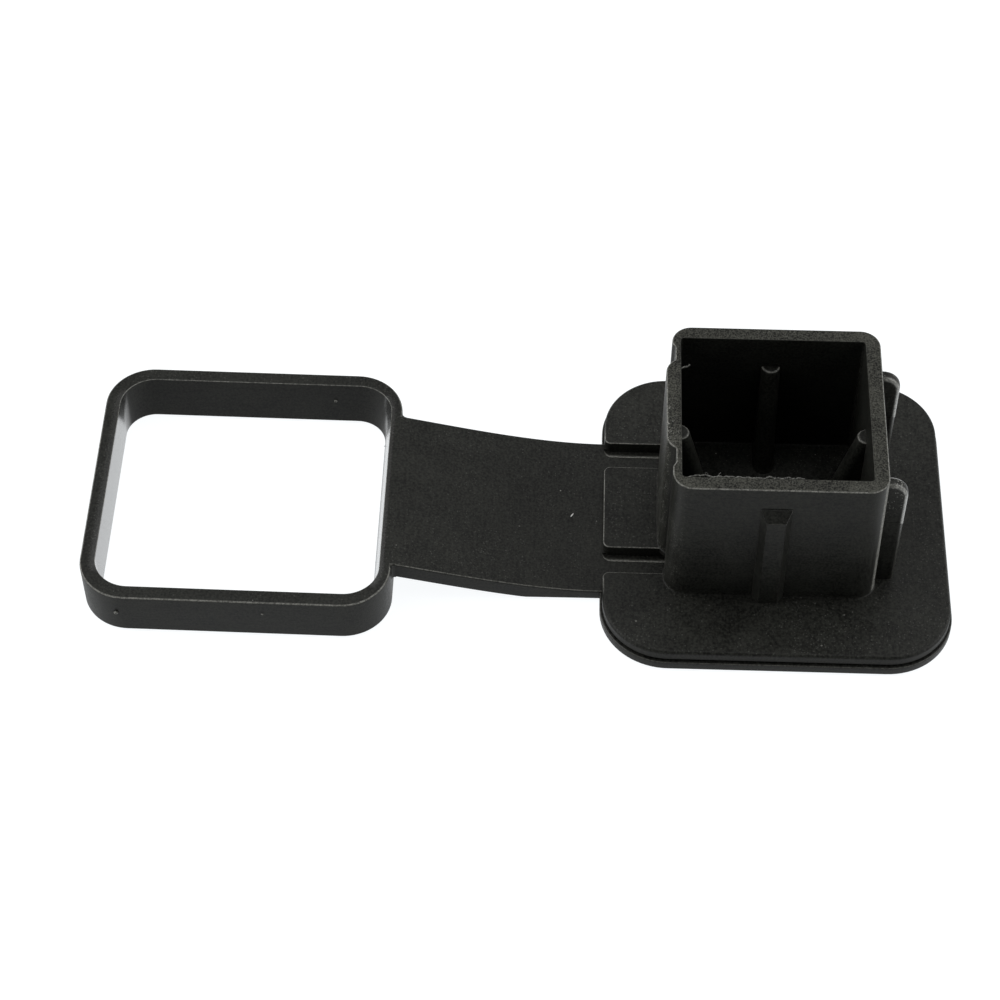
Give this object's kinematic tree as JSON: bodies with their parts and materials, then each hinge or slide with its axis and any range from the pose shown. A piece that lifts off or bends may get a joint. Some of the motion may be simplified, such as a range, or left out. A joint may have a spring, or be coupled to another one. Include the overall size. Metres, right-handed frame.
{
  "type": "hitch receiver cover",
  "caption": "Moulded rubber cover for a square receiver tube: rounded flange with a hollow push-in plug, joined by a flat strap to a keeper loop.",
  "frame": {"origin": "centre of the flange's outer face, the face that the cover lies on in the picture", "axes": "+Z out of the flange along the plug, -X along the strap towards the loop, +Y across the strap"},
  "size_m": [0.2061, 0.0858, 0.0447],
  "materials": {
    "black_rubber": "satin"
  },
  "bodies": {
    "root": {"receiver_cover": "black_rubber"}
  },
  "joints": []
}
